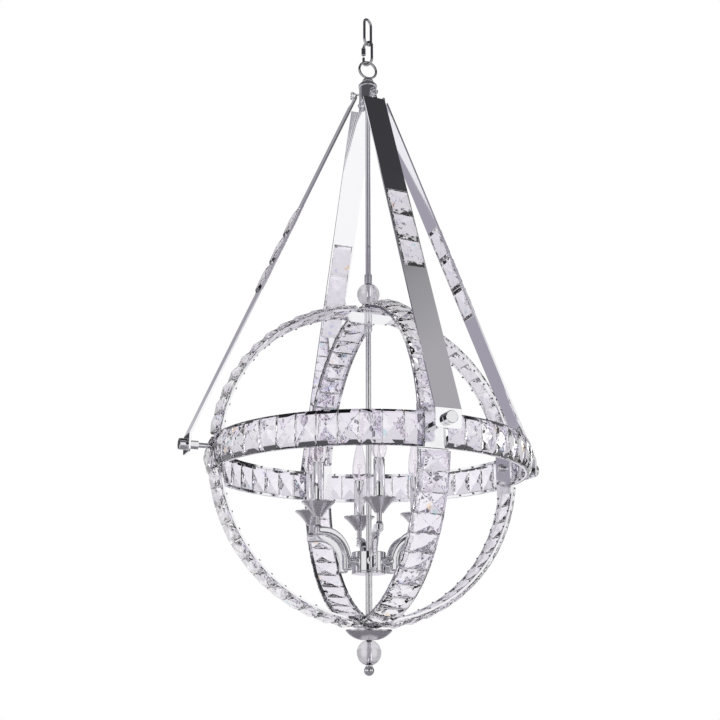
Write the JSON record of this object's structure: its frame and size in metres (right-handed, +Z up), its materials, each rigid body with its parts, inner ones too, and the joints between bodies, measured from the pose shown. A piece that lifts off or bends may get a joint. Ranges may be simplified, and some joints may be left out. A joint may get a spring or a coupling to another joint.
{
  "type": "crystal chandelier",
  "caption": "Orb chandelier: rings of cut crystal blocks hung on flat chrome straps from a chain link and loop, with candle lamps on bent arms inside.",
  "frame": {"origin": "hang point: the inside of the top link at its crown, on the centre axis", "axes": "+Z up along the centre rod, +X to the right strap, -Y to the front strap"},
  "size_m": [0.6002, 0.6002, 1.1169],
  "materials": {
    "chrome": "mirror polished",
    "strap_chrome": "mirror polished flat bar",
    "ring_chrome": "polished rails",
    "screw_steel": "dark steel screw heads",
    "crystal": "clear cut crystal",
    "bulb_glass": "clear lamp glass",
    "socket": "white lamp socket"
  },
  "bodies": {
    "hang_link": {"chain_link_upper": "chrome"},
    "swing_link": {"chain_link_lower": "chrome"},
    "quick_sleeve": {"link_sleeve": "chrome"},
    "fixture": {"arm_1": "chrome", "arm_2": "chrome", "arm_3": "chrome", "arm_4": "chrome", "arm_5": "chrome", "arm_6": "chrome", "arm_hub": "chrome", "arm_hub_plate": "chrome", "bottom_cap": "chrome", "bottom_crystal_ball": "crystal", "candle_sleeves": "chrome", "dome_nuts": "chrome", "front_ring_crystals": "crystal", "front_ring_frame": "ring_chrome", "front_ring_screws": "screw_steel", "hanging_loop": "chrome", "hub_body": "chrome", "hub_cap": "chrome", "junction_spacers": "chrome", "lamp_cups": "chrome", "lamp_holders": "socket", "level_ring_crystals": "crystal", "level_ring_frame": "ring_chrome", "level_ring_screws": "screw_steel", "loop_collar": "chrome", "pole_coupler": "chrome", "rod_lower": "chrome", "rod_middle": "chrome", "rod_sleeve": "chrome", "rod_upper": "chrome", "side_ring_crystals": "crystal", "side_ring_frame": "ring_chrome", "side_ring_screws": "screw_steel", "standoff_bolts": "chrome", "standoff_nuts": "chrome", "strap_1": "strap_chrome", "strap_2": "strap_chrome", "strap_3": "strap_chrome", "strap_4": "strap_chrome", "strap_crystals": "crystal", "strap_hook_1": "chrome", "strap_hook_2": "chrome", "strap_hook_3": "chrome", "strap_hook_4": "chrome", "top_crystal_ball": "crystal", "top_seat": "chrome"},
    "knob_1": {"standoff_knob_1": "chrome"},
    "knob_2": {"standoff_knob_2": "chrome"},
    "knob_3": {"standoff_knob_3": "chrome"},
    "knob_4": {"standoff_knob_4": "chrome"},
    "lamp_1": {"bulb_1": "bulb_glass"},
    "lamp_2": {"bulb_2": "bulb_glass"},
    "lamp_3": {"bulb_3": "bulb_glass"},
    "lamp_4": {"bulb_4": "bulb_glass"},
    "lamp_5": {"bulb_5": "bulb_glass"},
    "lamp_6": {"bulb_6": "bulb_glass"},
    "finial_ball": {"finial": "chrome"}
  },
  "joints": [
    {"name": "link_swing", "type": "hinge", "parent": "hang_link", "child": "swing_link", "pos_m": [0, 0, -0.0476], "axis": [0.866, 0.5, 0], "range_deg": [-40, 40]},
    {"name": "fixture_swing", "type": "hinge", "parent": "swing_link", "child": "fixture", "pos_m": [0, 0, -0.0874], "axis": [0.5, -0.866, 0], "range_deg": [-30, 30]},
    {"name": "sleeve_slide", "type": "slide", "parent": "swing_link", "child": "quick_sleeve", "axis": [0, 0, -1], "range_m": [0, 0.009]},
    {"name": "knob_1_turn", "type": "hinge", "parent": "fixture", "child": "knob_1", "pos_m": [0, -0.2946, -0.7853], "axis": [0, -1, 0], "range_deg": [0, 720]},
    {"name": "knob_2_turn", "type": "hinge", "parent": "fixture", "child": "knob_2", "pos_m": [0.2946, 0, -0.7853], "axis": [1, 0, 0], "range_deg": [0, 720]},
    {"name": "knob_3_turn", "type": "hinge", "parent": "fixture", "child": "knob_3", "pos_m": [0, 0.2946, -0.7853], "axis": [0, 1, 0], "range_deg": [0, 720]},
    {"name": "knob_4_turn", "type": "hinge", "parent": "fixture", "child": "knob_4", "pos_m": [-0.2946, 0, -0.7853], "axis": [-1, 0, 0], "range_deg": [0, 720]},
    {"name": "bulb_1_turn", "type": "hinge", "parent": "fixture", "child": "lamp_1", "pos_m": [-0.02099, -0.0947, -0.8213], "axis": [0, 0, 1], "range_deg": [0, 1080]},
    {"name": "bulb_2_turn", "type": "hinge", "parent": "fixture", "child": "lamp_2", "pos_m": [0.07152, -0.06553, -0.8213], "axis": [0, 0, 1], "range_deg": [0, 1080]},
    {"name": "bulb_3_turn", "type": "hinge", "parent": "fixture", "child": "lamp_3", "pos_m": [0.09251, 0.02917, -0.8213], "axis": [0, 0, 1], "range_deg": [0, 1080]},
    {"name": "bulb_4_turn", "type": "hinge", "parent": "fixture", "child": "lamp_4", "pos_m": [0.02099, 0.0947, -0.8213], "axis": [0, 0, 1], "range_deg": [0, 1080]},
    {"name": "bulb_5_turn", "type": "hinge", "parent": "fixture", "child": "lamp_5", "pos_m": [-0.07152, 0.06553, -0.8213], "axis": [0, 0, 1], "range_deg": [0, 1080]},
    {"name": "bulb_6_turn", "type": "hinge", "parent": "fixture", "child": "lamp_6", "pos_m": [-0.09251, -0.02917, -0.8213], "axis": [0, 0, 1], "range_deg": [0, 1080]},
    {"name": "finial_turn", "type": "hinge", "parent": "fixture", "child": "finial_ball", "pos_m": [0, 0, -1.1013], "axis": [0, 0, -1], "range_deg": [0, 1080]}
  ]
}
